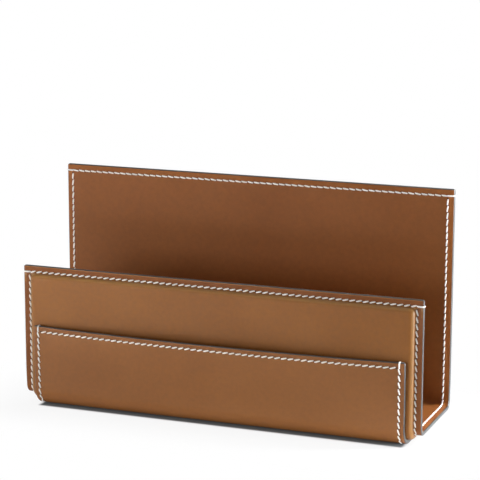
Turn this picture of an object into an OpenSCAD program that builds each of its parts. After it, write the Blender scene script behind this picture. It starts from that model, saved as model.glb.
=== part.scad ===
// Letter holder: a leather-covered rack, bent from one sheet into a tall back, a base and a
// lower front, open at both ends, with a card pocket across its front that turns under as a sole.
// +Z is up, X runs along the width, the front faces -Y and the desk is at Z = 0.

/* [Channel] */
// Width of the holder from end to end
holder_w = 240; // [160:1:320]
// Height of the back wall above the desk
back_h = 133; // [100:0.1:180]
// Height of the front wall above the desk
front_h = 82.6; // [62:0.1:98]
// Clear depth between the linings of the two walls
channel_d = 56; // [30:0.1:90]
// Inner radius of the two bottom bends
bend_r = 3; // [2.5:0.1:6]
// Radius of the top corners of both walls
corner_r = 1; // [0.5:0.1:2.5]

/* [Layers] */
// Thickness of each leather
leather_t = 1.2; // [0.9:0.1:1.6]
// Thickness of the bent steel core
core_t = 1.2; // [0.8:0.1:2]
// Thickness of the filler board over the core
filler_t = 1.8; // [1:0.1:3]

/* [Pocket] */
// Distance from the end of the holder to the side of the pocket
pocket_inset = 8.3; // [8:0.1:30]
// Height of the pocket's mouth above the desk
pocket_h = 48.3; // [36:0.1:56]
// Gap between the pocket and the front wall at the ends of the mouth
mouth_gap_end = 0.6; // [0.5:0.1:3]
// Gap between the pocket and the front wall in the middle of the mouth
mouth_gap_mid = 6.2; // [4:0.1:10]
// How late the pocket leans away from the wall as it rises (1 is a straight lean)
mouth_curl = 1.3; // [1.1:0.1:2.5]

/* [Stitching] */
// Distance from one awl hole to the next
stitch_pitch = 3.85; // [3:0.05:5]
// Space between the end of one stitch and the start of the next
stitch_space = 0.8; // [0.4:0.1:1.2]
// Thickness of the waxed thread
thread_d = 0.9; // [0.6:0.1:1.1]
// Distance of the body's seams from the edge of the leather
seam_inset = 3.7; // [3:0.1:4.5]
// Distance of the pocket's seams from its edges
pocket_seam_inset = 3.1; // [3:0.1:4.5]
// Angle between each stitch and its seam
stitch_slant = 16; // [0:1:20]
// Clear space between a stitch and the foot of the raised field
seam_room = 0.1; // [0.05:0.05:1]
// Width of the slit that the awl leaves
awl_w = 0.4; // [0.3:0.1:0.6]
// How far round the bottom bend the pocket's side seams run, in degrees
pocket_seam_turn = 64; // [40:1:70]

/* [Hidden] */
$fn = 48;

// A wall's two leathers sewn face to face, as at every margin and all over the pocket
sheet_t = 2 * leather_t;
// Height of the raised field over the sewn margin
raise = core_t + filler_t;
// Distances outward from the channel's inner faces
body_out = sheet_t + raise;
pocket_out = body_out + sheet_t;
// Levels of the channel's floor and of the centres of the bottom bends
floor_z = pocket_out;
turn_z = floor_z + bend_r;
// Inner faces of the two walls, placed so that the whole holder is centred on Y = 0
back_face_y = (channel_d + sheet_t + mouth_gap_mid) / 2;
front_face_y = back_face_y - channel_d;
base_run_l = channel_d - 2 * bend_r;
pocket_w = holder_w - 2 * pocket_inset;

// Stitches lie on the leather as half rounds
thread_r = thread_d / 2;
stitch_l = stitch_pitch - stitch_space;
stitch_half_w = thread_r * cos(stitch_slant) + stitch_l / 2 * sin(stitch_slant);
// The core stops where the outer leather can come down to the margin beside the stitches
field_inset = seam_inset + stitch_half_w + seam_room;
core_inset = field_inset + leather_t;
field_round = filler_t + leather_t;
// Thread passes from one stitch to the next through a slit that the awl sets aslant the seam
slit_along = stitch_pitch - stitch_l * cos(stitch_slant);
slit_across = stitch_l * sin(stitch_slant);
slit_turn = -atan2(slit_across, slit_along);
slit_l = norm([slit_along, slit_across]) + thread_r;
// The thread in a slit runs this far up into the stitches at its two ends
leg_bite = thread_r * 0.6;
// A side seam starts below the thread of the seam along the top
side_seam_start = seam_inset + 2 * stitch_half_w;

// Straight runs of a seam along the top of a wall, of a side seam and of the pocket's seams
top_run = holder_w - 2 * seam_inset;
back_run = back_h - side_seam_start - turn_z;
front_run = front_h - side_seam_start - turn_z;
pocket_top_run = pocket_w - 2 * (pocket_seam_inset + stitch_half_w + thread_d);
pocket_side_run = pocket_h - pocket_seam_inset - turn_z;
// Distances of the side seams, and of the pocket's side seams, from the middle of the holder
side_seam_x = holder_w / 2 - seam_inset;
pocket_seam_x = pocket_w / 2 - pocket_seam_inset;
// Stitches round a bottom bend, in a side seam and in a side seam of the pocket
bend_count = stitch_count((bend_r + leather_t) * PI / 2);
pocket_bend_count = stitch_count((bend_r + pocket_out) * PI * pocket_seam_turn / 180);
function stitch_count(l) = max(1, round(l / stitch_pitch));

// Facets of the bowed part of the pocket: across the width and up the rise
bow_across = 24;
bow_up = 10;
// A cut reaches this far past the face that it opens
over = 1;

// Runs of a sheet round the channel: each takes a section whose first axis is the distance
// outward from the inner face and whose second axis runs across the width
module front_wall(top_z)
    translate([0, front_face_y, turn_z])
        rotate([0, 0, -90])
            linear_extrude(top_z - turn_z)
                children();

module front_bend()
    translate([0, front_face_y + bend_r, turn_z])
        rotate([-90, 0, 0])
            rotate([0, 90, 0])
                rotate_extrude(angle = 90)
                    translate([bend_r, 0])
                        children();

module base_run()
    translate([0, front_face_y + bend_r, floor_z])
        rotate([0, 0, 90])
            rotate([0, 90, 0])
                linear_extrude(base_run_l)
                    children();

module back_bend()
    translate([0, back_face_y - bend_r, turn_z])
        rotate([0, 90, 0])
            rotate_extrude(angle = 90)
                translate([bend_r, 0])
                    children();

module back_wall(top_z)
    translate([0, back_face_y, turn_z])
        rotate([0, 0, 90])
            linear_extrude(top_z - turn_z)
                children();

module round_channel(inset) {
    front_wall(front_h - inset) children();
    front_bend() children();
    base_run() children();
    back_bend() children();
    back_wall(back_h - inset) children();
}

// Section of a flat sheet between two distances from the inner face
module sheet_section(near, far, w)
    translate([near, -w / 2])
        square([far - near, w]);

// Area between a square corner and the quarter circle inside it, centred on the circle
module corner_waste(r)
    difference() {
        square(r + over);
        circle(r);
    }

// Section of a sheet whose outer edges are rounded over
module rounded_section(near, far, w, r)
    difference() {
        sheet_section(near, far, w);
        for (side = [-1, 1])
            translate([far - r, side * (w / 2 - r)])
                mirror([0, side < 0 ? 1 : 0])
                    corner_waste(r);
    }

// What is taken off the top edges of both walls to round them over
module top_round_waste(inset, far, r) {
    translate([-holder_w / 2, front_face_y - far + r, front_h - inset - r])
        rotate([90, 0, 90])
            linear_extrude(holder_w)
                mirror([1, 0])
                    corner_waste(r);
    translate([-holder_w / 2, back_face_y + far - r, back_h - inset - r])
        rotate([90, 0, 90])
            linear_extrude(holder_w)
                corner_waste(r);
}

// What is taken off the top corners of both walls
module top_corner_waste()
    for (side = [0, 1])
        mirror([side, 0, 0]) {
            translate([holder_w / 2 - corner_r, front_face_y + over, front_h - corner_r])
                rotate([90, 0, 0])
                    linear_extrude(sheet_t + 2 * over)
                        corner_waste(corner_r);
            translate([holder_w / 2 - corner_r, back_face_y + sheet_t + over, back_h - corner_r])
                rotate([90, 0, 0])
                    linear_extrude(sheet_t + 2 * over)
                        corner_waste(corner_r);
        }

// A sheet over the core, rounded over along every outer edge
module rounded_layer(near, far, inset, r)
    difference() {
        round_channel(inset)
            rounded_section(near, far, holder_w - 2 * inset, r);
        top_round_waste(inset, far, r);
    }

// Pocket: how far its inner face stands off the front wall, and how that changes
function rise_share(z) = (z - turn_z) / (pocket_h - turn_z);
function mouth_gap(x) =
    mouth_gap_end + (mouth_gap_mid - mouth_gap_end) * (1 - pow(2 * x / pocket_w, 2));
function pocket_gap(x, z) = mouth_gap(x) * pow(rise_share(z), mouth_curl);
function pocket_lean(x, z) =
    atan(mouth_gap(x) * mouth_curl * pow(rise_share(z), mouth_curl - 1) / (pocket_h - turn_z));
function pocket_bow(x, z) =
    atan((mouth_gap_mid - mouth_gap_end) * 8 * x / pow(pocket_w, 2) * pow(rise_share(z), mouth_curl));
function pocket_y(x, z, out) = front_face_y - out - pocket_gap(x, z);

// The rise of the pocket between two distances from the inner face of the front wall
module bowed_rise(near, far) {
    row = bow_across + 1;
    layer = row * (bow_up + 1);
    points = [
        for (out = [near, far])
            for (j = [0 : bow_up])
                for (i = [0 : bow_across])
                    let (x = pocket_w * (i / bow_across - 0.5))
                    let (z = turn_z + (pocket_h - turn_z) * j / bow_up)
                    [x, pocket_y(x, z, out), z]
    ];
    quads = [
        for (j = [0 : bow_up - 1])
            for (i = [0 : bow_across - 1])
                let (a = j * row + i)
                each [[a, a + 1, a + row + 1, a + row],
                      [layer + a, layer + a + row, layer + a + row + 1, layer + a + 1]],
        for (i = [0 : bow_across - 1])
            let (a = i)
            let (b = bow_up * row + i)
            each [[a, layer + a, layer + a + 1, a + 1],
                  [b, b + 1, layer + b + 1, layer + b]],
        for (j = [0 : bow_up - 1])
            let (a = j * row)
            let (b = a + bow_across)
            each [[a, a + row, layer + a + row, layer + a],
                  [b, layer + b, layer + b + row, b + row]]
    ];
    triangles = [
        for (q = quads)
            each [[q[0], q[1], q[2]], [q[0], q[2], q[3]]]
    ];
    polyhedron(points, triangles, convexity = 4);
}

module pocket_sheet(near, far) {
    bowed_rise(near, far);
    front_bend() sheet_section(near, far, pocket_w);
    base_run() sheet_section(near, far, pocket_w);
}

// Half round section of a stitch, seated on the first axis
module stitch_section()
    intersection() {
        circle(thread_r);
        translate([-thread_d, 0])
            square([2 * thread_d, thread_d]);
    }

// One stitch along X, seated on the XY plane
module stitch()
    translate([-stitch_l / 2, 0, 0])
        rotate([90, 0, 90])
            linear_extrude(stitch_l)
                stitch_section();

// Stitches slant one way on the outer leather and the other way on the lining
module outer_stitch() rotate([0, 0, stitch_slant]) stitch();
module inner_stitch() rotate([0, 180, 0]) rotate([0, 0, -stitch_slant]) stitch();

// One stitch round X, above the axis, on the outside (side 1) or the inside (side -1) of a bend
module bend_stitch(r, turn, side)
    rotate([0, 90, 0])
        rotate([0, 0, 180 - turn / 2])
            rotate_extrude(angle = turn)
                translate([r, 0])
                    rotate(-90 * side)
                        stitch_section();

// Thread through one slit of a seam along X, in sheets of that depth below the XY plane
module leg(depth)
    rotate([0, 0, slit_turn])
        translate([-slit_l / 2, -awl_w / 2, -depth - leg_bite])
            cube([slit_l, awl_w, depth + 2 * leg_bite]);

// Straight seam along X from the origin, through a sheet below the XY plane
module row_stitches(l) {
    count = stitch_count(l);
    for (i = [0 : count - 1])
        translate([l * (i + 0.5) / count, 0, 0]) {
            outer_stitch();
            translate([0, 0, -sheet_t])
                inner_stitch();
        }
}

module row_legs(l) {
    count = stitch_count(l);
    for (i = [0 : count])
        translate([l * i / count, 0, 0])
            leg(sheet_t);
}

// Thread wrapped over an edge: its run along each face, at X <= 0, and across the edge at X = 0,
// on a sheet that lies below the XY plane
module edge_wrap(l)
    rotate([90, 0, 0])
        translate([0, 0, -thread_r])
            linear_extrude(thread_d)
                difference() {
                    translate([-l, -sheet_t - thread_r])
                        square([l + thread_r, sheet_t + thread_d]);
                    translate([-l - over, -sheet_t])
                        square([l + over, sheet_t]);
                }

// Starts of the seams along the tops of the walls, with X along the seam and Z outward
module on_back_top()
    translate([top_run / 2, back_face_y + sheet_t, back_h - seam_inset])
        rotate([90, 0, 180])
            children();

module on_front_top()
    translate([-top_run / 2, front_face_y - sheet_t, front_h - seam_inset])
        rotate([90, 0, 0])
            children();

module top_seam() {
    row_stitches(top_run);
    row_legs(top_run);
    translate([top_run + seam_inset, 0, 0])
        edge_wrap(seam_inset);
    mirror([1, 0, 0])
        translate([seam_inset, 0, 0])
            edge_wrap(seam_inset);
}

// Starts of a side seam's runs down the back, along the base and up the front
module on_back(x)
    translate([x, back_face_y + sheet_t, turn_z + back_run])
        rotate([270, 0, 0])
            rotate([0, 0, 90])
                children();

module on_base(x)
    translate([x, back_face_y - bend_r, floor_z - sheet_t])
        rotate([180, 0, 0])
            rotate([0, 0, 90])
                children();

module on_front(x)
    translate([x, front_face_y - sheet_t, turn_z])
        rotate([90, 0, 0])
            rotate([0, 0, 90])
                children();

// Places at these angles round the front bend, or the back bend, with Z pointing outward
module round_front_bend(x, angles)
    for (a = angles)
        translate([x, front_face_y + bend_r, turn_z])
            rotate([90 + a, 0, 0])
                children();

module round_back_bend(x, angles)
    for (a = angles)
        translate([x, back_face_y - bend_r, turn_z])
            rotate([180 + a, 0, 0])
                children();

// Angles of the stitches and of the slits between them, for a count of stitches in a turn
function stitch_angles(turn, count) = [for (i = [0 : count - 1]) turn * (i + 0.5) / count];
function slit_angles(turn, count) = [for (i = [1 : 1 : count - 1]) turn * i / count];

// Seam round one end of the channel, through both leathers of the margin
module side_bend_stitches() {
    turn = 90 / bend_count * stitch_l / stitch_pitch;
    bend_stitch(bend_r + sheet_t, turn, 1);
    bend_stitch(bend_r, turn, -1);
}

module side_bend_leg()
    translate([0, 0, bend_r + sheet_t])
        rotate([0, 0, 90])
            leg(sheet_t);

module side_legs(x) {
    on_back(x) row_legs(back_run);
    round_back_bend(x, slit_angles(90, bend_count)) side_bend_leg();
    on_base(x) row_legs(base_run_l);
    round_front_bend(x, slit_angles(90, bend_count)) side_bend_leg();
    on_front(x) row_legs(front_run);
}

module side_seam(x) {
    on_back(x) row_stitches(back_run);
    round_back_bend(x, stitch_angles(90, bend_count)) side_bend_stitches();
    on_base(x) row_stitches(base_run_l);
    round_front_bend(x, stitch_angles(90, bend_count)) side_bend_stitches();
    on_front(x) row_stitches(front_run);
    side_legs(x);
}

// Sets a thread piece on the rise of the pocket, at a distance from the wall's inner face
module on_pocket(x, z, out)
    translate([x, pocket_y(x, z, out), z])
        rotate([0, 0, pocket_bow(x, z)])
            rotate([90 + pocket_lean(x, z), 0, 0])
                children();

// Seam along the mouth of the pocket, through its two leathers
function mouth_x(i) = pocket_top_run * (i / stitch_count(pocket_top_run) - 0.5);

module mouth_legs()
    for (i = [0 : stitch_count(pocket_top_run)])
        on_pocket(mouth_x(i), pocket_h - pocket_seam_inset, pocket_out)
            leg(sheet_t);

module mouth_seam() {
    for (i = [0 : stitch_count(pocket_top_run) - 1]) {
        on_pocket(mouth_x(i + 0.5), pocket_h - pocket_seam_inset, pocket_out)
            outer_stitch();
        on_pocket(mouth_x(i + 0.5), pocket_h - pocket_seam_inset, body_out)
            inner_stitch();
    }
    mouth_legs();
}

// Seam down one side of the pocket and part of the way round the bottom bend, through the pocket
// and the outer leather of the body
function pocket_side_z(i) = turn_z + pocket_side_run * i / stitch_count(pocket_side_run);

module pocket_side_legs(x) {
    for (i = [0 : stitch_count(pocket_side_run)])
        let (z = pocket_side_z(i))
        translate([x, pocket_y(x, z, pocket_out), z])
            rotate([90, 0, 0])
                rotate([0, 0, 90])
                    leg(sheet_t + pocket_gap(x, z) + leather_t);
    round_front_bend(x, [each slit_angles(pocket_seam_turn, pocket_bend_count), pocket_seam_turn])
        translate([0, 0, bend_r + pocket_out])
            rotate([0, 0, 90])
                leg(sheet_t + leather_t);
}

module pocket_inner_stitches(x) {
    turn = pocket_seam_turn / pocket_bend_count * stitch_l / stitch_pitch;
    for (i = [0 : stitch_count(pocket_side_run) - 1])
        translate([x, front_face_y - body_out + leather_t, pocket_side_z(i + 0.5)])
            rotate([90, 0, 0])
                rotate([0, 0, 90])
                    inner_stitch();
    round_front_bend(x, stitch_angles(pocket_seam_turn, pocket_bend_count))
        bend_stitch(bend_r + body_out - leather_t, turn, -1);
}

// Groove in the filler board that the inner stitches lie in
module seam_groove() {
    bed = leather_t + raise - thread_r;
    front_wall(pocket_h) sheet_section(bed, body_out, 2 * stitch_half_w);
    front_bend() sheet_section(bed, body_out, 2 * stitch_half_w);
}

module pocket_side_seam(x) {
    turn = pocket_seam_turn / pocket_bend_count * stitch_l / stitch_pitch;
    for (i = [0 : stitch_count(pocket_side_run) - 1])
        on_pocket(x, pocket_side_z(i + 0.5), pocket_out)
            rotate([0, 0, 90])
                outer_stitch();
    round_front_bend(x, stitch_angles(pocket_seam_turn, pocket_bend_count))
        bend_stitch(bend_r + pocket_out, turn, 1);
    pocket_side_legs(x);
    pocket_inner_stitches(x);
    on_pocket(x, pocket_h, pocket_out)
        rotate([0, 0, 90])
            edge_wrap(pocket_seam_inset);
}

// Slits in the body's two leathers, and in the pocket and what it is sewn to
module body_slits() {
    on_back_top() row_legs(top_run);
    on_front_top() row_legs(top_run);
    for (x = [-side_seam_x, side_seam_x])
        side_legs(x);
}

module pocket_side_slits()
    for (x = [-pocket_seam_x, pocket_seam_x])
        pocket_side_legs(x);

module outer_leather()
    color("peru")
        difference() {
            union() {
                round_channel(0)
                    sheet_section(leather_t, sheet_t, holder_w);
                rounded_layer(leather_t, body_out, field_inset, field_round);
            }
            core_solid();
            filler_solid();
            top_corner_waste();
            body_slits();
            pocket_side_slits();
        }

module lining_leather()
    color("sienna")
        difference() {
            round_channel(0)
                sheet_section(0, leather_t, holder_w);
            top_corner_waste();
            body_slits();
        }

module core_solid()
    round_channel(core_inset)
        sheet_section(leather_t, leather_t + core_t, holder_w - 2 * core_inset);

module filler_solid()
    rounded_layer(leather_t + core_t, leather_t + raise, core_inset, filler_t);

module steel_core()
    color("silver")
        core_solid();

module filler_board()
    color("tan")
        difference() {
            filler_solid();
            for (x = [-pocket_seam_x, pocket_seam_x])
                translate([x, 0, 0])
                    seam_groove();
        }

module pocket_leather()
    color("peru")
        difference() {
            pocket_sheet(body_out + leather_t, pocket_out);
            mouth_legs();
            pocket_side_slits();
        }

module pocket_lining()
    color("sienna")
        difference() {
            pocket_sheet(body_out, body_out + leather_t);
            mouth_legs();
            pocket_side_slits();
        }

module back_top_thread()
    color("ivory")
        on_back_top()
            top_seam();

module front_top_thread()
    color("ivory")
        on_front_top()
            top_seam();

module left_side_thread()
    color("ivory")
        side_seam(-side_seam_x);

module right_side_thread()
    color("ivory")
        side_seam(side_seam_x);

module pocket_top_thread()
    color("ivory")
        mouth_seam();

module pocket_left_thread()
    color("ivory")
        pocket_side_seam(-pocket_seam_x);

module pocket_right_thread()
    color("ivory")
        pocket_side_seam(pocket_seam_x);

outer_leather();
lining_leather();
steel_core();
filler_board();
pocket_leather();
pocket_lining();
back_top_thread();
front_top_thread();
left_side_thread();
right_side_thread();
pocket_top_thread();
pocket_left_thread();
pocket_right_thread();
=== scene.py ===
import math

import bpy
import bmesh
import numpy as np
from mathutils import Matrix, Vector


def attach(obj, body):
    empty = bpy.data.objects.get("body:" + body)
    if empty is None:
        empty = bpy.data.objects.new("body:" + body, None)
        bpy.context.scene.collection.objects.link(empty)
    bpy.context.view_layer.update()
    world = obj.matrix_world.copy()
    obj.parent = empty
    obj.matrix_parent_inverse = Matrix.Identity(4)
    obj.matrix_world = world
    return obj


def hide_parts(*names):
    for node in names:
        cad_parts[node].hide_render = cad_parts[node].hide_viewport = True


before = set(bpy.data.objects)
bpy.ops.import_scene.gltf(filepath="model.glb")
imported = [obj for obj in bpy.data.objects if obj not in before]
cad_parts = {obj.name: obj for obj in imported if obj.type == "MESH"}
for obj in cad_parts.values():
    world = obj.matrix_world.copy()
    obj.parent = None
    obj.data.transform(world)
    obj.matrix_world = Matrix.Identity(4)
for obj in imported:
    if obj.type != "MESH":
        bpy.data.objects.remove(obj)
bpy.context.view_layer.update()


# Steel core: a 1.2 mm sheet, pressed into the shape of the channel and closed in between the two
# leathers, where it keeps the bends square. It is bare metal, brushed along the width.
def new_material(name):
    """A material, its nodes and links, and its Principled shader."""
    material = bpy.data.materials.new(name)
    material.use_nodes = True
    nodes = material.node_tree.nodes
    return material, nodes, material.node_tree.links, nodes["Principled BSDF"]


def dress(node_name, material):
    """Gives a CAD node its own material."""
    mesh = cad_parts[node_name].data
    mesh.materials.clear()
    mesh.materials.append(material)


def add_noise(nodes, links, vector, scale, detail, roughness=0.5):
    noise = nodes.new("ShaderNodeTexNoise")
    noise.inputs["Scale"].default_value = scale
    noise.inputs["Detail"].default_value = detail
    noise.inputs["Roughness"].default_value = roughness
    links.new(vector, noise.inputs["Vector"])
    return noise.outputs["Fac"]


def add_ramp(nodes, links, value, low, low_colour, high, high_colour):
    ramp = nodes.new("ShaderNodeValToRGB")
    ramp.color_ramp.elements[0].position = low
    ramp.color_ramp.elements[0].color = (*low_colour, 1)
    ramp.color_ramp.elements[1].position = high
    ramp.color_ramp.elements[1].color = (*high_colour, 1)
    links.new(value, ramp.inputs["Fac"])
    return ramp.outputs["Color"]


def add_range(nodes, links, value, low, high, to_low, to_high, smooth=False):
    scale = nodes.new("ShaderNodeMapRange")
    scale.interpolation_type = "SMOOTHSTEP" if smooth else "LINEAR"
    scale.inputs["From Min"].default_value = low
    scale.inputs["From Max"].default_value = high
    scale.inputs["To Min"].default_value = to_low
    scale.inputs["To Max"].default_value = to_high
    links.new(value, scale.inputs["Value"])
    return scale.outputs["Result"]


def add_bump(nodes, links, height, shader, distance, strength):
    bump = nodes.new("ShaderNodeBump")
    bump.inputs["Distance"].default_value = distance
    bump.inputs["Strength"].default_value = strength
    links.new(height, bump.inputs["Height"])
    links.new(bump.outputs["Normal"], shader.inputs["Normal"])


steel, nodes, links, shader = new_material("brushed_core_steel")
stretch = nodes.new("ShaderNodeMapping")
stretch.inputs["Scale"].default_value = (8, 900, 900)
links.new(nodes.new("ShaderNodeTexCoord").outputs["Object"], stretch.inputs["Vector"])
brushing = add_noise(nodes, links, stretch.outputs["Vector"], 1, 4)
links.new(add_ramp(nodes, links, brushing, 0.3, (0.42, 0.42, 0.43), 0.7, (0.62, 0.62, 0.63)),
          shader.inputs["Base Color"])
links.new(add_range(nodes, links, brushing, 0.3, 0.7, 0.28, 0.42), shader.inputs["Roughness"])
shader.inputs["Metallic"].default_value = 1
add_bump(nodes, links, brushing, shader, 0.00003, 0.4)
dress("steel_core", steel)


# Filler board: bonded leather fibre, 1.8 mm thick, glued over the core with its edges rounded. It
# lifts the middle of the outer leather and is hidden by it.
board, nodes, links, shader = new_material("bonded_fibre_board")
place = nodes.new("ShaderNodeTexCoord").outputs["Object"]
fibre = add_noise(nodes, links, place, 1400, 5, 0.7)
cloud = add_noise(nodes, links, place, 90, 3)
links.new(add_ramp(nodes, links, fibre, 0.3, (0.13, 0.075, 0.04), 0.7, (0.30, 0.19, 0.10)),
          shader.inputs["Base Color"])
links.new(add_range(nodes, links, cloud, 0.3, 0.7, 0.75, 0.95), shader.inputs["Roughness"])
add_bump(nodes, links, fibre, shader, 0.0001, 0.5)
dress("filler_board", board)


# Body lining: one sheet of tan calf, 1.2 mm thick, glued to the inside of the channel from the top
# of the front wall, across the base and up the back wall. Its cut edge is sanded round and painted.
half_width = 0.120
front_face = -0.0237
back_face = 0.0323
turn_height = 0.0108
bend_radius = 0.003
front_rise = 0.0718
back_rise = 0.1222
base_length = 0.050
leather = 0.0012
bend_length = bend_radius * math.pi / 2
channel_length = front_rise + base_length + back_rise + 2 * bend_length
edge_round = 0.0006
corner_round = 0.001
seam_inset = 0.0037
seam_press = 0.00012
seam_reach = 0.003
far_from_seams = (0.5, 50)
margin_flare = 0.0006
flare_fade = 0.01
paint_width = 0.00055
least_corner = 0.0002
stitch_pitch = 0.00385
side_seam_start = 0.005406


def on_channel(along, across, out):
    """A point by its distance along the inner face from the front's top edge, its place across the
    width and its distance outward. Outside the seams the drying outer leather draws the margins of the
    walls outward."""
    from_edge = min(along, channel_length - along, half_width - abs(across))
    up_wall = min(max(front_rise - along, along - channel_length + back_rise, 0) / flare_fade, 1)
    out += margin_flare * up_wall * max(0, 1 - from_edge / seam_inset)
    reach = bend_radius + out
    if along < front_rise:
        return across, front_face - out, turn_height + front_rise - along
    along -= front_rise
    if along < bend_length:
        turn = along / bend_radius
        forward = front_face + bend_radius - reach * math.cos(turn)
        return across, forward, turn_height - reach * math.sin(turn)
    along -= bend_length
    if along < base_length:
        return across, front_face + bend_radius + along, turn_height - reach
    along -= base_length
    if along < bend_length:
        turn = along / bend_radius
        backward = back_face - bend_radius + reach * math.sin(turn)
        return across, backward, turn_height - reach * math.cos(turn)
    return across, back_face + out, turn_height + along - bend_length


# Stitches in the runs of a side seam, front to back: wall, bend, base, bend, wall
side_runs = [(front_rise - side_seam_start, 17), (bend_length, 2), (base_length, 13), (bend_length, 2),
             (back_rise - side_seam_start, 30)]
top_run = 2 * (half_width - seam_inset)
top_stitches = 60


def side_stitch_number(along):
    """How many stitches of a side seam come before this distance from the front's top edge."""
    left = along - side_seam_start
    number = 0
    for length, count in side_runs:
        if left <= length or (length, count) == side_runs[-1]:
            return number + left / length * count
        left -= length
        number += count


def side_seam_along(number):
    """The distance from the front's top edge at which a side seam has that stitch number."""
    along = side_seam_start
    for length, count in side_runs:
        if number <= count:
            return along + length * number / count
        along += length
        number -= count
    return along


def channel_seam(along, across):
    """The seam nearest to a place on the channel: its key and the distance from it."""
    found = [("front", abs(along - seam_inset)), ("back", abs(channel_length - along - seam_inset))]
    if side_seam_start - 0.001 < along < channel_length - side_seam_start + 0.001:
        found.append(("right" if across > 0 else "left", abs(half_width - abs(across) - seam_inset)))
    return min(found, key=lambda seam: seam[1])


def row_number(across, run, count):
    """Stitch number along a level seam, held half a stitch beyond its ends."""
    return min(max((across / run + 0.5) * count, -0.5), count + 0.5)


def channel_seam_mark(key, along, across):
    """Stitch number along that seam and distance inward from it, in millimetres. Where the slits lean
    the other way the numbers run backwards."""
    if key == "front":
        return row_number(across, top_run, top_stitches), (along - seam_inset) * 1000
    if key == "back":
        return -row_number(across, top_run, top_stitches), (channel_length - along - seam_inset) * 1000
    number = side_stitch_number(along)
    return number if key == "right" else -number, (half_width - abs(across) - seam_inset) * 1000


def spread(start, end, step):
    """Evenly spaced values from start to end, about a step apart."""
    return list(np.linspace(start, end, max(2, int(round((end - start) / step)) + 1)))


def sheet_ring(inset, corner, length, half, alongs, acrosses, corner_steps):
    """One closed loop of places on a sheet, at a distance from its edge, with rounded corners."""
    loop = [(inset, x) for x in acrosses]
    for turn, centre_along, centre_across in (
            (0, inset + corner, half - inset - corner),
            (1, length - inset - corner, half - inset - corner),
            (2, length - inset - corner, -(half - inset - corner)),
            (3, inset + corner, -(half - inset - corner))):
        for step in range(corner_steps):
            angle = math.pi / 2 * (turn + step / (corner_steps - 1))
            loop.append((centre_along - corner * math.cos(angle), centre_across + corner * math.sin(angle)))
        if turn == 0:
            loop += [(a, half - inset) for a in alongs]
        elif turn == 1:
            loop += [(length - inset, x) for x in reversed(acrosses)]
        elif turn == 2:
            loop += [(a, -(half - inset)) for a in reversed(alongs)]
    return loop


def leather_piece(name, place, length, half, outer_rings, inner_rings, alongs, acrosses,
                  nearest_seam, seam_mark, materials):
    """A closed sheet of leather with a rounded cut edge. Each ring is (distance from the edge, height
    outward, corner radius); the two faces meet at their first rings."""
    corner_steps = 7
    points = []
    spots = []
    faces = []
    painted = []

    def add_point(along, across, out):
        points.append(place(along, across, out))
        spots.append((along, across))
        return len(points) - 1

    def add_face(corners, paint):
        faces.append(corners)
        painted.append(paint)

    first_loops = []
    for rings, flip in ((outer_rings, False), (inner_rings, True)):
        loops = []
        for inset, out, corner in rings:
            loop = sheet_ring(inset, corner, length, half, alongs, acrosses, corner_steps)
            loops.append([add_point(along, across, out) for along, across in loop])
        first_loops.append(loops[0])
        count = len(loops[0])
        for index in range(len(loops) - 1):
            paint = rings[index + 1][0] <= paint_width
            for k in range(count):
                after = (k + 1) % count
                quad = [loops[index][k], loops[index][after], loops[index + 1][after], loops[index + 1][k]]
                add_face(quad[::-1] if flip else quad, paint)
        out = rings[-1][1]
        grid = [[add_point(along, across, out) for across in acrosses] for along in alongs]
        rim = loops[-1]
        wide = len(acrosses)
        tall = len(alongs)
        starts = [0, wide + corner_steps, wide + tall + 2 * corner_steps, 2 * wide + tall + 3 * corner_steps]
        sides = [grid[0], [row[-1] for row in grid], grid[-1][::-1], [row[0] for row in grid][::-1]]
        for start, side in zip(starts, sides):
            for k in range(len(side) - 1):
                quad = [rim[start + k], rim[start + k + 1], side[k + 1], side[k]]
                add_face(quad[::-1] if flip else quad, False)
            last = start + len(side) - 1
            for k in range(corner_steps + 1):
                triangle = [rim[last + k], rim[(last + k + 1) % count], side[-1]]
                add_face(triangle[::-1] if flip else triangle, False)
        for j in range(tall - 1):
            for i in range(wide - 1):
                quad = [grid[j][i], grid[j][i + 1], grid[j + 1][i + 1], grid[j + 1][i]]
                add_face(quad[::-1] if flip else quad, False)
    count = len(first_loops[0])
    for k in range(count):
        after = (k + 1) % count
        add_face([first_loops[0][after], first_loops[0][k], first_loops[1][k], first_loops[1][after]], True)

    mesh = bpy.data.meshes.new(name)
    mesh.from_pydata(points, [], faces)
    for material in materials:
        mesh.materials.append(material)
    mesh.polygons.foreach_set("material_index", [1 if paint else 0 for paint in painted])
    mesh.polygons.foreach_set("use_smooth", [True] * len(faces))
    seam_map = mesh.uv_layers.new(name="seam")
    for polygon in mesh.polygons:
        middle = np.mean([spots[v] for v in polygon.vertices], axis=0)
        key, distance = nearest_seam(*middle)
        for loop, vertex in zip(polygon.loop_indices, polygon.vertices):
            near = distance < seam_reach
            seam_map.data[loop].uv = seam_mark(key, *spots[vertex]) if near else far_from_seams
    shape = bmesh.new()
    shape.from_mesh(mesh)
    bmesh.ops.recalc_face_normals(shape, faces=shape.faces)
    shape.to_mesh(mesh)
    shape.free()
    mesh.set_sharp_from_angle(angle=math.radians(50))
    piece = bpy.data.objects.new(name, mesh)
    bpy.context.scene.collection.objects.link(piece)
    return piece


def edge_rings(face_out, inward, corner):
    """Rounded cut edge of a sheet, from the edge's outermost line to the face at that height."""
    edge_steps = 4
    rings = []
    for step in range(edge_steps + 1):
        angle = math.pi / 2 * step / edge_steps
        inset = edge_round * (1 - math.sin(angle))
        drop = edge_round * (1 - math.cos(angle))
        rings.append((inset, face_out - inward * drop, max(corner - inset, least_corner)))
    return rings[::-1]


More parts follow.
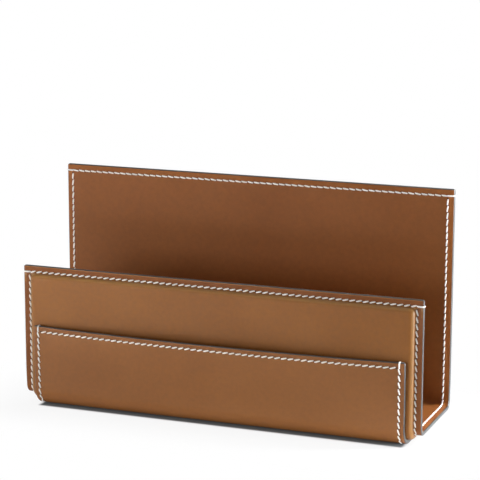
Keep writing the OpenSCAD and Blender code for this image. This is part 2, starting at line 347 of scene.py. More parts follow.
# Calf leather: fine pebbled grain, soft clouds of colour from the dye, and a satin finish
grain = bpy.data.node_groups.new("calf_grain", "ShaderNodeTree")
for socket, value in (("Cell Scale", 1500.0), ("Cloud Scale", 16.0)):
    made = grain.interface.new_socket(name=socket, in_out="INPUT", socket_type="NodeSocketFloat")
    made.default_value = value
for socket in ("Cloud", "Speckle", "Height"):
    grain.interface.new_socket(name=socket, in_out="OUTPUT", socket_type="NodeSocketFloat")
nodes = grain.nodes
links = grain.links
entry = nodes.new("NodeGroupInput")
leave = nodes.new("NodeGroupOutput")
place = nodes.new("ShaderNodeTexCoord").outputs["Object"]
cloud = nodes.new("ShaderNodeTexNoise")
cloud.inputs["Detail"].default_value = 3
links.new(place, cloud.inputs["Vector"])
links.new(entry.outputs["Cloud Scale"], cloud.inputs["Scale"])
speckle = add_noise(nodes, links, place, 420, 4, 0.6)
cells = nodes.new("ShaderNodeTexVoronoi")
cells.feature = "DISTANCE_TO_EDGE"
links.new(place, cells.inputs["Vector"])
links.new(entry.outputs["Cell Scale"], cells.inputs["Scale"])
pebble = add_range(nodes, links, cells.outputs["Distance"], 0, 0.35, 0, 1, True)
swell = add_noise(nodes, links, place, 130, 3)
heights = nodes.new("ShaderNodeMath")
heights.operation = "MULTIPLY_ADD"
heights.inputs[1].default_value = 0.35
links.new(pebble, heights.inputs[0])
links.new(swell, heights.inputs[2])
links.new(cloud.outputs["Fac"], leave.inputs["Cloud"])
links.new(speckle, leave.inputs["Speckle"])
links.new(heights.outputs["Value"], leave.inputs["Height"])

# Marks of the sewing: painted shade along the pressed groove of the seam, a dark awl slit between stitches,
# and masks for the sewn margin and for the rounded sides of the raised field
marks = bpy.data.node_groups.new("seam_marks", "ShaderNodeTree")
for socket, value in (("Pitch", 3.85), ("Slit Half Length", 0.72), ("Slit Half Width", 0.30),
                      ("Slit Angle", math.radians(42))):
    made = marks.interface.new_socket(name=socket, in_out="INPUT", socket_type="NodeSocketFloat")
    made.default_value = value
for socket in ("Slit", "Groove", "Margin", "Rise"):
    marks.interface.new_socket(name=socket, in_out="OUTPUT", socket_type="NodeSocketFloat")
nodes = marks.nodes
links = marks.links
entry = nodes.new("NodeGroupInput")
leave = nodes.new("NodeGroupOutput")
seam_place = nodes.new("ShaderNodeUVMap")
seam_place.uv_map = "seam"
split = nodes.new("ShaderNodeSeparateXYZ")
links.new(seam_place.outputs["UV"], split.inputs["Vector"])
number = split.outputs["X"]
inward = split.outputs["Y"]


def add_math(nodes, links, operation, first, second=None):
    sum_node = nodes.new("ShaderNodeMath")
    sum_node.operation = operation
    for socket, value in zip(sum_node.inputs, (first, second)):
        if isinstance(value, (int, float)):
            socket.default_value = value
        elif value is not None:
            links.new(value, socket)
    return sum_node.outputs["Value"]


nearest = add_math(nodes, links, "ROUND", number)
from_hole = add_math(nodes, links, "SUBTRACT", number, nearest)
from_hole = add_math(nodes, links, "MULTIPLY", from_hole, entry.outputs["Pitch"])
cut_along = add_math(nodes, links, "COSINE", entry.outputs["Slit Angle"])
cut_across = add_math(nodes, links, "SINE", entry.outputs["Slit Angle"])
lengthwise = add_math(nodes, links, "ADD", add_math(nodes, links, "MULTIPLY", from_hole, cut_along),
                      add_math(nodes, links, "MULTIPLY", inward, cut_across))
sideways = add_math(nodes, links, "SUBTRACT", add_math(nodes, links, "MULTIPLY", inward, cut_along),
                    add_math(nodes, links, "MULTIPLY", from_hole, cut_across))
lengthwise = add_math(nodes, links, "DIVIDE", lengthwise, entry.outputs["Slit Half Length"])
sideways = add_math(nodes, links, "DIVIDE", sideways, entry.outputs["Slit Half Width"])
from_slit = add_math(nodes, links, "ADD", add_math(nodes, links, "MULTIPLY", lengthwise, lengthwise),
                     add_math(nodes, links, "MULTIPLY", sideways, sideways))
from_slit = add_math(nodes, links, "SQRT", from_slit)
from_line = add_math(nodes, links, "ABSOLUTE", inward)
links.new(add_range(nodes, links, from_slit, 0.6, 1.2, 1, 0, True), leave.inputs["Slit"])
links.new(add_range(nodes, links, from_line, 0.3, 1.3, 1, 0, True), leave.inputs["Groove"])
links.new(add_range(nodes, links, inward, -0.5, 0.5, 1, 0, True), leave.inputs["Margin"])
past_foot = add_range(nodes, links, inward, 0.6, 1.2, 0, 1, True)
below_top = add_range(nodes, links, inward, 2.0, 3.0, 1, 0, True)
links.new(add_math(nodes, links, "MULTIPLY", past_foot, below_top), leave.inputs["Rise"])


def add_mix(nodes, links, kind, factor, first, second):
    mix = nodes.new("ShaderNodeMix")
    mix.data_type = "RGBA"
    mix.blend_type = kind
    sockets = (mix.inputs["Factor"], mix.inputs["A"], mix.inputs["B"])
    for socket, value in zip(sockets, (factor, first, second)):
        if isinstance(value, (int, float)):
            socket.default_value = value
        elif isinstance(value, tuple):
            socket.default_value = (*value, 1)
        else:
            links.new(value, socket)
    return mix.outputs["Result"]


def calf_leather(name, light, dark, margin_tint_and_light, sheen, highlight_tint=None):
    """Calf whose sewn margins are multiplied by their own tint, which on the lining is painted light, and
    whose raised field, where a highlight tint is given, has paler, glossy rounded sides, the paleness a
    painted highlight.
    """
    material, nodes, links, shader = new_material(name)
    skin = nodes.new("ShaderNodeGroup")
    skin.node_tree = grain
    sewing = nodes.new("ShaderNodeGroup")
    sewing.node_tree = marks
    colour = add_ramp(nodes, links, skin.outputs["Cloud"], 0.32, dark, 0.68, light)
    tone = add_range(nodes, links, skin.outputs["Speckle"], 0.3, 0.7, 0.93, 1.06)
    colour = add_mix(nodes, links, "MULTIPLY", 1.0, colour, tone)
    # The sewn margins get their own multiplier: on the lining it lightens them as painted light, on the body
    # and the pocket it makes them darker and redder.
    tinted_margin = add_mix(nodes, links, "MULTIPLY", 1.0, colour, margin_tint_and_light)
    colour = add_mix(nodes, links, "MIX", sewing.outputs["Margin"], colour, tinted_margin)
    # On the rounded sides of the raised field the colour is made paler, a painted highlight; the coat there
    # adds real gloss.
    if highlight_tint:
        painted_highlight_colour = add_mix(nodes, links, "MULTIPLY", 1.0, colour, highlight_tint)
        colour = add_mix(nodes, links, "MIX", sewing.outputs["Rise"], colour, painted_highlight_colour)
        gloss = add_math(nodes, links, "MULTIPLY", sewing.outputs["Rise"], 0.6)
        links.new(gloss, shader.inputs["Coat Weight"])
        shader.inputs["Coat Roughness"].default_value = 0.4
    # The colour darkens along the seam's pressed groove: painted shade.
    shade = add_math(nodes, links, "MULTIPLY", sewing.outputs["Groove"], 0.25)
    colour = add_mix(nodes, links, "MIX", shade, colour, tuple(0.55 * c for c in dark))
    colour = add_mix(nodes, links, "MIX", sewing.outputs["Slit"], colour, (0.008, 0.004, 0.002))
    links.new(colour, shader.inputs["Base Color"])
    satin = add_range(nodes, links, skin.outputs["Speckle"], 0.3, 0.7, 0.48, 0.60)
    links.new(satin, shader.inputs["Roughness"])
    sink = add_math(nodes, links, "MULTIPLY", sewing.outputs["Slit"], -3)
    height = add_math(nodes, links, "ADD", skin.outputs["Height"], sink)
    add_bump(nodes, links, height, shader, 0.00012, 0.5)
    shader.inputs["Specular IOR Level"].default_value = sheen
    return material


lining_light = (0.252, 0.087, 0.022)
lining_dark = (0.224, 0.074, 0.018)
# The lining's lighter margins are painted light.
lining_calf = calf_leather("lining_calf", lining_light, lining_dark, (1.16, 1.14, 1.05), 0.15)

paint_dark = (0.044, 0.046, 0.046)
paint_worn = (0.078, 0.082, 0.083)
edge_paint, nodes, links, shader = new_material("dark_edge_paint")
lumps = add_noise(nodes, links, nodes.new("ShaderNodeTexCoord").outputs["Object"], 380, 3)
links.new(add_ramp(nodes, links, lumps, 0.3, paint_dark, 0.75, paint_worn), shader.inputs["Base Color"])
links.new(add_range(nodes, links, lumps, 0.3, 0.7, 0.28, 0.40), shader.inputs["Roughness"])
add_bump(nodes, links, lumps, shader, 0.0001, 0.4)
shader.inputs["Specular IOR Level"].default_value = 0.7

grid_step = 0.0045
grid_edge = 0.010
bend_margin = 0.001
wall_alongs = spread(grid_edge, channel_length - grid_edge, grid_step)
for bend_start in (front_rise, front_rise + bend_length + base_length):
    bend_end = bend_start + bend_length
    wall_alongs = [a for a in wall_alongs if not bend_start - bend_margin < a < bend_end + bend_margin]
    wall_alongs += list(np.linspace(bend_start, bend_end, 9))
wall_alongs.sort()
wall_acrosses = spread(grid_edge - half_width, half_width - grid_edge, grid_step)

lining_face = edge_rings(0, -1, corner_round)
for inset in (0.0008, 0.0016, 0.0027, seam_inset, 0.0045, 0.0065):
    press = seam_press if inset == seam_inset else 0
    lining_face.append((inset, press, max(corner_round - inset, least_corner)))
lining_back = [(0, leather, corner_round)]
lining_back += [(inset, leather, least_corner) for inset in (seam_inset, 0.0044)]
lining_piece = leather_piece("body_lining", on_channel, channel_length, half_width, lining_back,
                             lining_face, wall_alongs, wall_acrosses, channel_seam, channel_seam_mark,
                             [lining_calf, edge_paint])
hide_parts("lining_leather")
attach(lining_piece, "root")


# Body leather: one sheet of the same calf outside, damped and pressed down round the filler board, so
# that a field with rounded sides stands 3 mm above the sewn margin on each wall and on the base.
sheet = 2 * leather
raise_height = 0.003
field_inset = 0.004653
field_corner = 0.0034
foot_hollow = 0.0008


def field_rings(foot_inset, foot_out, rise, corner, steps, foot_round):
    """Quarter round from the foot of the raised field to its top, with a hollow round at the foot."""
    hollow_steps = 4
    rings = []
    for step in range(hollow_steps):
        angle = math.pi / 2 * (step + 0.5) / (hollow_steps + 1)
        inset = foot_inset - foot_round * (1 - math.sin(angle))
        rings.append((inset, foot_out + foot_round * (1 - math.cos(angle)), corner))
    for step in range(1, steps + 1):
        angle = math.pi / 2 * step / steps
        out = foot_round * (1 - math.sin(angle)) + rise * math.sin(angle)
        inset = foot_inset + rise * (1 - math.cos(angle))
        rings.append((inset, foot_out + out, corner - rise * (1 - math.cos(angle))))
    return rings


tan_light = (0.262, 0.093, 0.012)
tan_dark = (0.232, 0.079, 0.009)
# The last tint makes the rounded sides of the raised field paler: a painted highlight.
tan_calf = calf_leather("tan_calf", tan_light, tan_dark, (0.78, 0.62, 0.30), 0.32, (1.12, 1.42, 2.0))
body_face = edge_rings(sheet, 1, corner_round)
body_face += [(0.0008, sheet, 0.0006), (0.0016, sheet, 0.0010), (0.0027, sheet, 0.0012)]
body_face += [(seam_inset, sheet - seam_press, 0.0022)]
body_face += field_rings(field_inset, sheet, raise_height, field_corner, 10, foot_hollow)
body_face += [(0.0082, sheet + raise_height, 0.0009)]
body_back = [(0, leather, corner_round), (seam_inset, leather, 0.0022), (0.0048, leather, 0.003)]
body_back += field_rings(field_inset + leather, leather, raise_height, field_corner, 5, foot_hollow)
body_piece = leather_piece("body_leather", on_channel, channel_length, half_width, body_face, body_back,
                           wall_alongs, wall_acrosses, channel_seam, channel_seam_mark,
                           [tan_calf, edge_paint])
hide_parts("outer_leather")
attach(body_piece, "root")


# Pocket: two sheets of calf glued back to back, bowed forward at the mouth, bent under the base and
# glued there as a sole. Its sides are sewn to the front wall before that wall is glued to the board.
pocket_half = 0.1117
pocket_top = 0.0483
pocket_rise = pocket_top - turn_height
body_out = sheet + raise_height
pocket_out = body_out + sheet
mouth_gap_end = 0.0006
mouth_gap_middle = 0.0062
mouth_curl = 1.3
pocket_bend = (bend_radius + body_out + leather) * math.pi / 2
pocket_length = pocket_rise + pocket_bend + base_length
pocket_seam_turn = math.radians(64)
pocket_seam_inset = 0.0031
mouth_seam_gap = 0.001753
mouth_run = 2 * (pocket_half - pocket_seam_inset - mouth_seam_gap)
mouth_stitches = 56
pocket_wall_run = pocket_rise - pocket_seam_inset
pocket_wall_stitches = 9
pocket_bend_run = pocket_bend * pocket_seam_turn / (math.pi / 2)
pocket_bend_stitches = 3


def pocket_gap(across, height):
    """How far the pocket stands off the front wall."""
    gap = mouth_gap_end + (mouth_gap_middle - mouth_gap_end) * (1 - (across / pocket_half) ** 2)
    return gap * max((height - turn_height) / pocket_rise, 0) ** mouth_curl


def on_pocket(along, across, out):
    """A point by its distance from the mouth, its place across and its distance outward from the
    channel's inner face."""
    if along < pocket_rise:
        height = pocket_top - along
        return across, front_face - out - pocket_gap(across, height), height
    along -= pocket_rise
    reach = bend_radius + out
    if along < pocket_bend:
        turn = along / pocket_bend * math.pi / 2
        forward = front_face + bend_radius - reach * math.cos(turn)
        return across, forward, turn_height - reach * math.sin(turn)
    return across, front_face + bend_radius + along - pocket_bend, turn_height - reach


def pocket_seam(along, across):
    """The seam nearest to a place on the pocket: its key and the distance from it."""
    found = [("mouth", abs(along - pocket_seam_inset))]
    if pocket_seam_inset < along < pocket_rise + pocket_bend_run + 0.001:
        side = "right" if across > 0 else "left"
        found.append((side, abs(pocket_half - abs(across) - pocket_seam_inset)))
    return min(found, key=lambda seam: seam[1])


def pocket_seam_mark(key, along, across):
    """Stitch number along that seam and distance inward from it, as on the channel."""
    if key == "mouth":
        return row_number(across, mouth_run, mouth_stitches), (along - pocket_seam_inset) * 1000
    number = (along - pocket_seam_inset) / pocket_wall_run * pocket_wall_stitches
    if number > pocket_wall_stitches:
        number = pocket_wall_stitches + (along - pocket_rise) / pocket_bend_run * pocket_bend_stitches
    return number if key == "right" else -number, (pocket_half - abs(across) - pocket_seam_inset) * 1000


pocket_corner = 0.001
# The pocket is the body's calf given more green and blue in its colour, to paint in the sheen of its
# forward-leaning face.
pocket_light = (0.258, 0.097, 0.023)
pocket_dark = (0.228, 0.083, 0.019)
pocket_calf = calf_leather("pocket_calf", pocket_light, pocket_dark, (0.96, 0.92, 0.90), 0.28)
pocket_grid_edge = 0.007
pocket_alongs = spread(pocket_grid_edge, pocket_rise, 0.0033)
pocket_alongs += list(np.linspace(pocket_rise, pocket_rise + pocket_bend, 15))[1:]
pocket_alongs += spread(pocket_rise + pocket_bend, pocket_length - pocket_grid_edge, 0.005)[1:]
pocket_acrosses = spread(-0.103, 0.103, grid_step)

pocket_inside = edge_rings(body_out, -1, pocket_corner)
pocket_front = edge_rings(pocket_out, 1, pocket_corner)
for inset in (0.0008, 0.0014, 0.0023, pocket_seam_inset, 0.0039, 0.0054):
    press = seam_press if inset == pocket_seam_inset else 0
    pocket_inside.append((inset, body_out + press, max(pocket_corner - inset, least_corner)))
    pocket_front.append((inset, pocket_out - press, max(pocket_corner - inset, least_corner)))
pocket_glued = [(0, body_out + leather, pocket_corner), (0.0040, body_out + leather, least_corner)]

back_half = leather_piece("pocket_back_leather", on_pocket, pocket_length, pocket_half, pocket_glued,
                          pocket_inside, pocket_alongs, pocket_acrosses, pocket_seam,
                          pocket_seam_mark, [lining_calf, edge_paint])
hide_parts("pocket_lining")
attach(back_half, "root")

front_half = leather_piece("pocket_front_leather", on_pocket, pocket_length, pocket_half, pocket_front,
                           pocket_glued, pocket_alongs, pocket_acrosses, pocket_seam,
                           pocket_seam_mark, [pocket_calf, edge_paint])
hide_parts("pocket_leather")
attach(front_half, "root")


# Saddle stitching: waxed white linen, two plies twisted, sewn by hand with two needles through slits
# cut by a pricking iron. At the ends of the top seams and at the pocket's mouth it wraps the edge.
thread_width = 0.0009
stitch_length = 0.0037
stitch_lift = 0.0002
stitch_dip = 0.0008
stitch_slant = math.radians(16)
inner_lean = -0.5
stitch_seed = 3
hand_sway = 0.05

linen, nodes, links, shader = new_material("waxed_linen")
thread_place = nodes.new("ShaderNodeUVMap")
thread_place.uv_map = "ply"
split = nodes.new("ShaderNodeSeparateXYZ")
links.new(thread_place.outputs["UV"], split.inputs["Vector"])
turns = add_math(nodes, links, "MULTIPLY", split.outputs["Y"], 3)
lay = add_math(nodes, links, "ADD", add_math(nodes, links, "MULTIPLY", split.outputs["X"], 2), turns)
ply = add_math(nodes, links, "SINE", add_math(nodes, links, "MULTIPLY", lay, 2 * math.pi))
fuzz = add_noise(nodes, links, nodes.new("ShaderNodeTexCoord").outputs["Object"], 2600, 3)
shade = add_math(nodes, links, "ADD", ply, add_math(nodes, links, "MULTIPLY", fuzz, 0.8))
# The thread darkens in the grooves between its plies: painted shade, with the fuzz as random tone.
links.new(add_ramp(nodes, links, add_range(nodes, links, shade, -0.8, 0.6, 0, 1), 0, (0.80, 0.77, 0.71),
                   0.6, (0.95, 0.94, 0.90)), shader.inputs["Base Color"])
links.new(add_range(nodes, links, fuzz, 0.3, 0.7, 0.5, 0.68), shader.inputs["Roughness"])
add_bump(nodes, links, shade, shader, 0.00006, 0.6)

stitch_tree = bpy.data.node_groups.new("saddle_stitch", "GeometryNodeTree")
stitch_inputs = {}
for socket, kind, value in (
        ("Geometry", "NodeSocketGeometry", None), ("Thread Width", "NodeSocketFloat", thread_width),
        ("Stitch Length", "NodeSocketFloat", stitch_length), ("Pitch", "NodeSocketFloat", stitch_pitch),
        ("Slant", "NodeSocketFloat", stitch_slant), ("Lift", "NodeSocketFloat", stitch_lift),
        ("Dip", "NodeSocketFloat", stitch_dip), ("Seed", "NodeSocketInt", stitch_seed),
        ("Thread", "NodeSocketMaterial", None)):
    made = stitch_tree.interface.new_socket(name=socket, in_out="INPUT", socket_type=kind)
    if value is not None:
        made.default_value = value
    stitch_inputs[socket] = made.identifier
stitch_tree.interface.new_socket(name="Geometry", in_out="OUTPUT", socket_type="NodeSocketGeometry")
nodes = stitch_tree.nodes
links = stitch_tree.links
entry = nodes.new("NodeGroupInput")
leave = nodes.new("NodeGroupOutput")


def add_node(kind, **inputs):
    """A node of the stitch tree with its inputs set or joined by name."""
    node = nodes.new(kind)
    for name, value in inputs.items():
        socket = node.inputs[name.replace("_", " ")]
        if isinstance(value, bpy.types.NodeSocket):
            links.new(value, socket)
        else:
            socket.default_value = value
    return node


def attribute(name, kind):
    node = nodes.new("GeometryNodeInputNamedAttribute")
    node.data_type = kind
    node.inputs["Name"].default_value = name
    return node.outputs["Attribute"]


def calc(operation, first, second=None):
    return add_math(nodes, links, operation, first, second)


# One stitch: a twisted tube that bows up in the middle and goes down into the slits at its ends
tube = add_node("GeometryNodeMeshCylinder", Vertices=8, Side_Segments=9,
                Depth=entry.outputs["Stitch Length"],
                Radius=calc("MULTIPLY", entry.outputs["Thread Width"], 0.5))
ply_map = nodes.new("GeometryNodeStoreNamedAttribute")
ply_map.data_type = "FLOAT2"
ply_map.domain = "CORNER"
ply_map.inputs["Name"].default_value = "ply"
links.new(tube.outputs["Mesh"], ply_map.inputs["Geometry"])
ply_values = [socket for socket in ply_map.inputs if socket.name == "Value" and socket.enabled]
links.new(tube.outputs["UV Map"], ply_values[0])
spot = nodes.new("ShaderNodeSeparateXYZ")
links.new(nodes.new("GeometryNodeInputPosition").outputs["Position"], spot.inputs["Vector"])
share = calc("DIVIDE", spot.outputs["Z"], calc("MULTIPLY", entry.outputs["Stitch Length"], 0.5))
bow = calc("POWER", calc("ABSOLUTE", share), 7)
height = calc("SUBTRACT", entry.outputs["Lift"], calc("MULTIPLY", bow, entry.outputs["Dip"]))
flat = nodes.new("ShaderNodeCombineXYZ")
links.new(calc("MULTIPLY", spot.outputs["X"], 1.08), flat.inputs["X"])
links.new(calc("MULTIPLY", spot.outputs["Y"], 0.86), flat.inputs["Y"])
twist = nodes.new("ShaderNodeVectorRotate")
twist.rotation_type = "Z_AXIS"
links.new(flat.outputs["Vector"], twist.inputs["Vector"])
links.new(calc("MULTIPLY", share, 2.4), twist.inputs["Angle"])
round_spot = nodes.new("ShaderNodeSeparateXYZ")
links.new(twist.outputs["Vector"], round_spot.inputs["Vector"])
slim = calc("SUBTRACT", 1.0, calc("MULTIPLY", bow, 0.2))
placed = nodes.new("ShaderNodeCombineXYZ")
links.new(spot.outputs["Z"], placed.inputs["X"])
links.new(calc("MULTIPLY", round_spot.outputs["X"], slim), placed.inputs["Y"])
links.new(calc("ADD", calc("MULTIPLY", round_spot.outputs["Y"], slim), height), placed.inputs["Z"])
one_stitch = add_node("GeometryNodeSetPosition", Geometry=ply_map.outputs["Geometry"],
                      Position=placed.outputs["Vector"])

# The edges of the seam line carry where each stitch lies; those marked as wraps become a round cord
parts = nodes.new("GeometryNodeSeparateGeometry")
parts.domain = "EDGE"
links.new(entry.outputs["Geometry"], parts.inputs["Geometry"])
links.new(attribute("wrap", "BOOLEAN"), parts.inputs["Selection"])
middles = nodes.new("GeometryNodeMeshToPoints")
middles.mode = "EDGES"
links.new(parts.outputs["Inverted"], middles.inputs["Mesh"])
facing = nodes.new("FunctionNodeAxesToRotation")
facing.primary_axis = "Z"
facing.secondary_axis = "X"
links.new(attribute("out", "FLOAT_VECTOR"), facing.inputs["Primary Axis"])
links.new(attribute("run", "FLOAT_VECTOR"), facing.inputs["Secondary Axis"])
hand = nodes.new("FunctionNodeRandomValue")
hand.data_type = "FLOAT"
for socket in hand.inputs:
    if socket.enabled and socket.name == "Min":
        socket.default_value = -hand_sway
    if socket.enabled and socket.name == "Max":
        socket.default_value = hand_sway
links.new(entry.outputs["Seed"], hand.inputs["Seed"])
jitter = [socket for socket in hand.outputs if socket.enabled][0]
angle = calc("ADD", calc("MULTIPLY", attribute("lean", "FLOAT"), entry.outputs["Slant"]), jitter)
slant = nodes.new("FunctionNodeAxisAngleToRotation")
slant.inputs["Axis"].default_value = (0, 0, 1)
links.new(angle, slant.inputs["Angle"])
turned = nodes.new("FunctionNodeRotateRotation")
turned.rotation_space = "LOCAL"
links.new(facing.outputs["Rotation"], turned.inputs["Rotation"])
links.new(slant.outputs["Rotation"], turned.inputs["Rotate By"])
reach = nodes.new("ShaderNodeCombineXYZ")
links.new(calc("DIVIDE", attribute("span", "FLOAT"), entry.outputs["Pitch"]), reach.inputs["X"])
reach.inputs["Y"].default_value = 1
reach.inputs["Z"].default_value = 1
stitches = nodes.new("GeometryNodeInstanceOnPoints")
links.new(middles.outputs["Points"], stitches.inputs["Points"])
links.new(one_stitch.outputs["Geometry"], stitches.inputs["Instance"])
links.new(turned.outputs["Rotation"], stitches.inputs["Rotation"])
links.new(reach.outputs["Vector"], stitches.inputs["Scale"])

wrap_line = nodes.new("GeometryNodeMeshToCurve")
links.new(parts.outputs["Selection"], wrap_line.inputs["Mesh"])
wrap_round = add_node("GeometryNodeCurvePrimitiveCircle", Resolution=8,
                      Radius=calc("MULTIPLY", entry.outputs["Thread Width"], 0.52))
wrap_tube = nodes.new("GeometryNodeCurveToMesh")
wrap_tube.inputs["Fill Caps"].default_value = True
links.new(wrap_line.outputs["Curve"], wrap_tube.inputs["Curve"])
links.new(wrap_round.outputs["Curve"], wrap_tube.inputs["Profile Curve"])

together = nodes.new("GeometryNodeJoinGeometry")
links.new(stitches.outputs["Instances"], together.inputs["Geometry"])
links.new(wrap_tube.outputs["Mesh"], together.inputs["Geometry"])
real = add_node("GeometryNodeRealizeInstances", Geometry=together.outputs["Geometry"])
smooth = add_node("GeometryNodeSetShadeSmooth", Geometry=real.outputs["Geometry"])
finish = add_node("GeometryNodeSetMaterial", Geometry=smooth.outputs["Geometry"],
                  Material=entry.outputs["Thread"])
links.new(finish.outputs["Geometry"], leave.inputs["Geometry"])


def seam_thread(name, rows, wraps, node):
    """The thread of one seam. A row is (holes, outward direction at each stitch, lean); a wrap is a line
    of points."""
    points = []
    edges = []
    runs = []
    outs = []
    leans = []
    spans = []
    wrapped = []
    for holes, outward, lean in rows:
        first = len(points)
        points += [tuple(h) for h in holes]
        for k in range(len(holes) - 1):
            step = Vector(holes[k + 1]) - Vector(holes[k])
            edges.append((first + k, first + k + 1))
            runs += list(step.normalized())
            outs += list(outward[k])
            leans.append(lean)
            spans.append(step.length)
            wrapped.append(False)
    for line in wraps:
        first = len(points)
        points += [tuple(p) for p in line]
        for k in range(len(line) - 1):
            edges.append((first + k, first + k + 1))
            runs += [1, 0, 0]
            outs += [0, 0, 1]
            leans.append(0)
            spans.append(0)
            wrapped.append(True)
    mesh = bpy.data.meshes.new(name + "_line")
    mesh.from_pydata(points, edges, [])
    for label, kind, field, values in (
            ("run", "FLOAT_VECTOR", "vector", runs), ("out", "FLOAT_VECTOR", "vector", outs),
            ("lean", "FLOAT", "value", leans), ("span", "FLOAT", "value", spans),
            ("wrap", "BOOLEAN", "value", wrapped)):
        mesh.attributes.new(label, kind, "EDGE").data.foreach_set(field, values)
    piece = bpy.data.objects.new(name, mesh)
    bpy.context.scene.collection.objects.link(piece)
    sewing = piece.modifiers.new("sewing", "NODES")
    sewing.node_group = stitch_tree
    for socket, value in (
            ("Thread Width", thread_width), ("Stitch Length", stitch_length), ("Pitch", stitch_pitch),
            ("Slant", stitch_slant), ("Lift", stitch_lift), ("Dip", stitch_dip), ("Seed", stitch_seed),
            ("Thread", linen)):
        sewing[stitch_inputs[socket]] = value
    bpy.context.view_layer.update()
    seen = piece.evaluated_get(bpy.context.evaluated_depsgraph_get())
    sewn = bpy.data.meshes.new_from_object(seen)
    piece.modifiers.remove(sewing)
    piece.data = sewn
    sewn.name = name
    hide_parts(node)
    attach(piece, "root")


def outward_at(place, along, across, out):
    """The direction away from the sheet's outer face."""
    far = Vector(place(along, across, out + 0.001))
    return (far - Vector(place(along, across, out))).normalized()


def seam_rows(place, stops, outer, inner):
    """The two rows of a seam through the places in stops, on its outer and its inner face."""
    middles = [tuple((np.array(a) + np.array(b)) / 2) for a, b in zip(stops, stops[1:])]
    rows = [([place(*stop, outer) for stop in stops], [outward_at(place, *m, outer) for m in middles], 1)]
    if inner is not None:
        rows.append(([place(*stop, inner) for stop in stops],
                     [-outward_at(place, *m, inner) for m in middles], inner_lean))
    return rows


def wrap_path(reach):
    """A wrap leaves the last slit, crosses the cut edge at that reach and enters the slit from behind."""
    path = [(0, -0.0004), (0.0002, 0.0002), (0.0012, 0.0003), (reach - 0.0006, 0.0002)]
    path += [(reach, -0.0003), (reach + 0.0001, -0.0012)]
    return path + [(run, -sheet - lift) for run, lift in reversed(path[:-1])]


for name, top_along, node in (("front_top_stitching", seam_inset, "front_top_thread"),
                              ("back_top_stitching", channel_length - seam_inset, "back_top_thread")):
    stops = [(top_along, top_run * (k / top_stitches - 0.5)) for k in range(top_stitches + 1)]
    if top_along > seam_inset:
        stops = stops[::-1]
    wraps = []
    for side in (-1, 1):
        path = [(half_width - seam_inset + run, sheet + lift) for run, lift in wrap_path(seam_inset)]
        wraps.append([on_channel(top_along, side * across, out) for across, out in path])
    seam_thread(name, seam_rows(on_channel, stops, sheet, 0), wraps, node)

side_stitches = sum(count for length, count in side_runs)
for name, side, node in (("left_side_stitching", -1, "left_side_thread"),
                         ("right_side_stitching", 1, "right_side_thread")):
    stops = [(side_seam_along(k), side * (half_width - seam_inset)) for k in range(side_stitches + 1)]
    seam_thread(name, seam_rows(on_channel, stops, sheet, 0), [], node)

stops = [(pocket_seam_inset, mouth_run * (k / mouth_stitches - 0.5)) for k in range(mouth_stitches + 1)]
mouth_rows = seam_rows(on_pocket, stops, pocket_out, body_out)
seam_thread("pocket_mouth_stitching", mouth_rows, [], "pocket_top_thread")

for name, side, node in (("pocket_left_stitching", -1, "pocket_left_thread"),
                         ("pocket_right_stitching", 1, "pocket_right_thread")):
    across = side * (pocket_half - pocket_seam_inset)
    stops = [(pocket_seam_inset + pocket_wall_run * k / pocket_wall_stitches, across)
             for k in range(pocket_wall_stitches + 1)]
    stops += [(pocket_rise + pocket_bend_run * k / pocket_bend_stitches, across)
              for k in range(1, pocket_bend_stitches + 1)]
    path = wrap_path(pocket_seam_inset)
    wrap = [on_pocket(pocket_seam_inset - run, across, pocket_out + lift) for run, lift in path]
    seam_thread(name, seam_rows(on_pocket, stops, pocket_out, None), [wrap], node)


# Studio: a pale floor that runs back out of sight, with a contact shadow painted into its colour under
# the holder, soft boxes above, in front to the left and at the right end, a low strip for the foot of the
# pocket, and a camera with a long lens a metre away, a little above the holder and to its right.
paper, nodes, links, shader = new_material("pale_floor")
shader.inputs["Roughness"].default_value = 0.9
shader.inputs["Specular IOR Level"].default_value = 0.1
glow = nodes.new("ShaderNodeEmission")
glow.inputs["Strength"].default_value = 1
sight = nodes.new("ShaderNodeLightPath")
seen = add_math(nodes, links, "MAXIMUM", sight.outputs["Is Camera Ray"], sight.outputs["Is Glossy Ray"])
seen = add_math(nodes, links, "MAXIMUM", seen, sight.outputs["Is Transmission Ray"])
split = nodes.new("ShaderNodeSeparateXYZ")
links.new(nodes.new("ShaderNodeTexCoord").outputs["Object"], split.inputs["Vector"])
beside = []
shadow_edge = 0.003
shadow_end = 0.06
for axis, half in (("X", 0.109), ("Y", 0.0285)):
    past = add_math(nodes, links, "SUBTRACT", add_math(nodes, links, "ABSOLUTE", split.outputs[axis]), half)
    past = add_math(nodes, links, "MAXIMUM", past, 0)
    beside.append(add_math(nodes, links, "MULTIPLY", past, past))
away = add_math(nodes, links, "SQRT", add_math(nodes, links, "ADD", *beside))
# Painted contact shadow: under the holder and for 3 mm round it the floor's own colour is a dark bluish
# grey, fading out to the open paper colour.
painted_contact_shadow = (0.31, 0.38, 0.43)
open_paper = (0.86, 0.89, 0.92)
painted_shadow_fade = add_range(nodes, links, away, 0, shadow_edge, 0, 1)
links.new(add_ramp(nodes, links, painted_shadow_fade, 0, painted_contact_shadow, 1, open_paper), shader.inputs["Base Color"])
clear = add_math(nodes, links, "ADD", add_range(nodes, links, away, 0, shadow_edge, 0, 0.9, True),
                 add_range(nodes, links, away, shadow_edge, shadow_end, 0, 0.1, True))
white = add_math(nodes, links, "MULTIPLY", seen, clear)
blend = nodes.new("ShaderNodeMixShader")
links.new(white, blend.inputs["Fac"])
links.new(shader.outputs["BSDF"], blend.inputs[1])
links.new(glow.outputs["Emission"], blend.inputs[2])
links.new(blend.outputs["Shader"], nodes["Material Output"].inputs["Surface"])

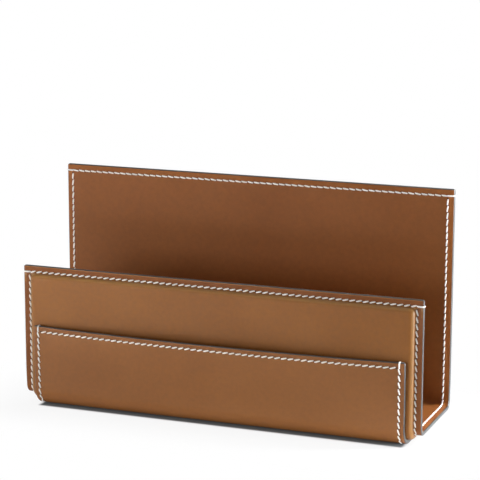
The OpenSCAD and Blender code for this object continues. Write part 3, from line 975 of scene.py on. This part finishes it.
floor_mesh = bpy.data.meshes.new("floor")
floor_mesh.from_pydata([(-40, -40, 0), (40, -40, 0), (40, 40, 0), (-40, 40, 0)], [], [(0, 1, 2, 3)])
floor_mesh.materials.append(paper)
floor = bpy.data.objects.new("floor", floor_mesh)
bpy.context.scene.collection.objects.link(floor)


def soft_box(name, where, aim, width, height, power, beam=180):
    """A lamp with a flat face that points at the aim; the beam is the angle of its cone in degrees."""
    lamp = bpy.data.lights.new(name, "AREA")
    lamp.shape = "RECTANGLE"
    lamp.size = width
    lamp.size_y = height
    lamp.energy = power
    lamp.spread = math.radians(beam)
    holder = bpy.data.objects.new(name, lamp)
    holder.location = where
    holder.rotation_euler = (Vector(aim) - Vector(where)).to_track_quat("-Z", "Y").to_euler()
    bpy.context.scene.collection.objects.link(holder)


soft_box("top_box", (0.0, 0.2, 1.1), (0, 0.05, 0), 0.7, 0.3, 2)
soft_box("floor_box", (-0.3, -0.28, 0.5), (-0.3, -0.28, 0), 0.6, 0.1, 2.2, 40)
soft_box("left_box", (-0.75, -1.0, 0.16), (0, 0, 0.07), 0.9, 0.32, 5.9)
soft_box("right_box", (0.95, 0.06, 0.10), (0.1, 0, 0.05), 0.16, 0.18, 11)
soft_box("low_strip", (-0.06, -0.6, 0.011), (-0.01, -0.03, 0.0), 0.3, 0.02, 0.006, 4)
soft_box("end_box", (0.65, 0.22, 0.50), (0.11, 0.005, 0.01), 0.14, 0.2, 0.26, 26)

sky = bpy.data.worlds.new("studio")
sky.use_nodes = True
nodes = sky.node_tree.nodes
links = sky.node_tree.links
split = nodes.new("ShaderNodeSeparateXYZ")
links.new(nodes.new("ShaderNodeTexCoord").outputs["Generated"], split.inputs["Vector"])
links.new(add_range(nodes, links, split.outputs["Y"], -0.2, 0.4, 0.36, 0.06, True),
          nodes["Background"].inputs["Strength"])
nodes["Background"].inputs["Color"].default_value = (1, 1, 1, 1)
bpy.context.scene.world = sky

yaw = math.radians(20.977)
pitch = math.radians(11.717)
roll = math.radians(0.15)
ahead = Vector((-math.sin(yaw) * math.cos(pitch), math.cos(yaw) * math.cos(pitch), -math.sin(pitch)))
level = Vector((math.cos(yaw), math.sin(yaw), 0))
upright = level.cross(ahead)
right = level * math.cos(roll) + upright * math.sin(roll)
up = upright * math.cos(roll) - level * math.sin(roll)
lens = bpy.data.cameras.new("camera")
lens.sensor_width = 36
lens.lens = 142.024
lens.clip_start = 0.05
lens.clip_end = 50
camera = bpy.data.objects.new("camera", lens)
camera_place = (0.38112, -0.9834, 0.32013)
turned = Matrix((right, up, -ahead)).transposed().to_4x4()
camera.matrix_world = Matrix.Translation(camera_place) @ turned
bpy.context.scene.collection.objects.link(camera)
bpy.context.scene.camera = camera
bpy.context.scene.view_settings.view_transform = "Standard"
